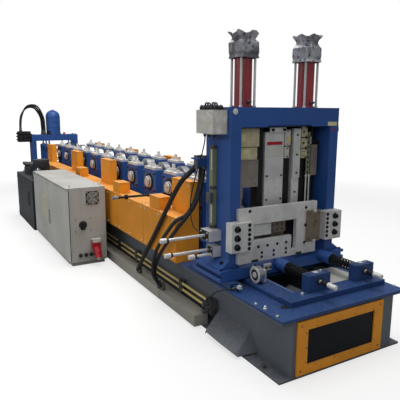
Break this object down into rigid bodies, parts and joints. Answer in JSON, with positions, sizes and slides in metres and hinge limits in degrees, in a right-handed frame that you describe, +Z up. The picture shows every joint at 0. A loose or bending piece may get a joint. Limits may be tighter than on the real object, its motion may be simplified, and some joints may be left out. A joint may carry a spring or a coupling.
{
  "type": "roll forming machine",
  "caption": "Purlin roll forming line with flying cut-off portal, roll stands, guards, electric cabinet and entry punch unit.",
  "frame": {"origin": "on the floor, on the centreline between the floor beams, below the exit edge of the beams", "axes": "+X the way the finished section leaves, +Y away from the operator, +Z up"},
  "size_m": [8.714, 1.706, 2.203],
  "materials": {
    "grey_paint": "satin",
    "blue_paint": "satin",
    "yellow_paint": "satin",
    "red_paint": "satin",
    "dark_paint": "satin",
    "tie_rod_white": "satin",
    "pipe_yellow": "satin",
    "olive": "satin",
    "cabinet_grey": "textured",
    "black_gloss": "gloss",
    "black_plastic": "satin",
    "red_plastic": "gloss",
    "black_steel": "satin",
    "bare_steel": "machined",
    "roll_chrome": "polished",
    "film": "crumpled",
    "hose_rubber": "matte"
  },
  "bodies": {
    "machine": {"floor_beams": "grey_paint", "cross_plates": "grey_paint", "exit_deck": "blue_paint", "cover_sheet": "bare_steel", "panel_frame": "yellow_paint", "end_panel": "black_gloss", "scrap_chute": "grey_paint", "hydraulic_pipes": "pipe_yellow", "pipe_couplings": "bare_steel", "cable_tray": "grey_paint", "machine_bed": "blue_paint", "stand_blocks": "blue_paint", "stand_caps": "bare_steel", "size_spindle": "black_steel", "fixed_rolls": "roll_chrome", "side_guards": "yellow_paint", "guard_hoods": "yellow_paint", "cabinet_body": "cabinet_grey", "fan_grille": "black_plastic", "power_inlet": "red_plastic", "buffer_springs": "black_steel", "leveller": "blue_paint", "punch_frame": "blue_paint", "punch_cylinder": "blue_paint", "entry_manifold": "black_steel", "hydraulic_station": "dark_paint", "conduit": "hose_rubber", "portal_hoses": "hose_rubber", "sensor_cable": "hose_rubber", "entry_hoses": "hose_rubber"},
    "left_door": {"left_cabinet_door": "cabinet_grey"},
    "right_door": {"right_cabinet_door": "cabinet_grey"},
    "switch": {"main_switch": "black_plastic"},
    "carriage": {"shear_saddle": "blue_paint", "portal_posts": "blue_paint", "rear_plate": "black_steel", "portal_beam": "blue_paint", "guide_posts": "roll_chrome", "cylinder_barrels": "red_paint", "cylinder_heads": "bare_steel", "tie_rods": "tie_rod_white", "film_wraps": "film", "junction_box": "cabinet_grey", "linear_scale": "olive", "side_clamps": "bare_steel", "die_plate": "bare_steel", "die_clamps": "bare_steel", "oiled_plates": "bare_steel", "spring_rods": "bare_steel", "box_cable": "hose_rubber"},
    "wheel": {"support_wheel": "roll_chrome"},
    "ram": {"piston_rods": "roll_chrome", "ram_back": "black_steel", "blade_plates": "bare_steel"},
    "upper_1": {"upper_roll_1": "roll_chrome"},
    "upper_2": {"upper_roll_2": "roll_chrome"},
    "upper_3": {"upper_roll_3": "roll_chrome"},
    "lower_1": {"lower_roll_1": "roll_chrome"},
    "lower_2": {"lower_roll_2": "roll_chrome"},
    "lower_3": {"lower_roll_3": "roll_chrome"}
  },
  "joints": [
    {"name": "left_door_hinge", "type": "hinge", "parent": "machine", "child": "left_door", "pos_m": [-4.583, -1.074, 0.447], "axis": [0, 0, -1], "range_deg": [0, 115]},
    {"name": "right_door_hinge", "type": "hinge", "parent": "machine", "child": "right_door", "pos_m": [-2.879, -1.074, 0.447], "axis": [0, 0, 1], "range_deg": [0, 115]},
    {"name": "main_switch_turn", "type": "hinge", "parent": "machine", "child": "switch", "pos_m": [-2.867, -0.92, 0.45], "axis": [1, 0, 0], "range_deg": [0, 90]},
    {"name": "cut_off_travel", "type": "slide", "parent": "machine", "child": "carriage", "axis": [1, 0, 0], "range_m": [0, 0.08], "deforming": ["buffer_springs"]},
    {"name": "wheel_roll", "type": "hinge", "parent": "carriage", "child": "wheel", "pos_m": [-0.515, -0.35, 0.5208], "axis": [0, 1, 0], "range_deg": [0, 80]},
    {"name": "ram_stroke", "type": "slide", "parent": "carriage", "child": "ram", "axis": [0, 0, -1], "range_m": [0, 0.16]},
    {"name": "upper_roll_1_turn", "type": "hinge", "parent": "machine", "child": "upper_1", "pos_m": [-1.53, 0, 0.93], "axis": [0, 1, 0], "continuous": true},
    {"name": "lower_roll_1_turn", "type": "hinge", "parent": "machine", "child": "lower_1", "pos_m": [-1.53, 0, 0.67], "axis": [0, 1, 0], "continuous": true},
    {"name": "upper_roll_2_turn", "type": "hinge", "parent": "machine", "child": "upper_2", "pos_m": [-2.01, 0, 0.93], "axis": [0, 1, 0], "continuous": true},
    {"name": "lower_roll_2_turn", "type": "hinge", "parent": "machine", "child": "lower_2", "pos_m": [-2.01, 0, 0.67], "axis": [0, 1, 0], "continuous": true},
    {"name": "upper_roll_3_turn", "type": "hinge", "parent": "machine", "child": "upper_3", "pos_m": [-2.49, 0, 0.93], "axis": [0, 1, 0], "continuous": true},
    {"name": "lower_roll_3_turn", "type": "hinge", "parent": "machine", "child": "lower_3", "pos_m": [-2.49, 0, 0.67], "axis": [0, 1, 0], "continuous": true}
  ],
  "couplings": [
    {"joint": "wheel_roll", "follows": "cut_off_travel", "rad_per_m": 16.529},
    {"joint": "upper_roll_1_turn", "follows": "lower_roll_1_turn", "ratio": -1},
    {"joint": "lower_roll_2_turn", "follows": "lower_roll_1_turn", "ratio": 1},
    {"joint": "upper_roll_2_turn", "follows": "lower_roll_1_turn", "ratio": -1},
    {"joint": "lower_roll_3_turn", "follows": "lower_roll_1_turn", "ratio": 1},
    {"joint": "upper_roll_3_turn", "follows": "lower_roll_1_turn", "ratio": -1}
  ]
}
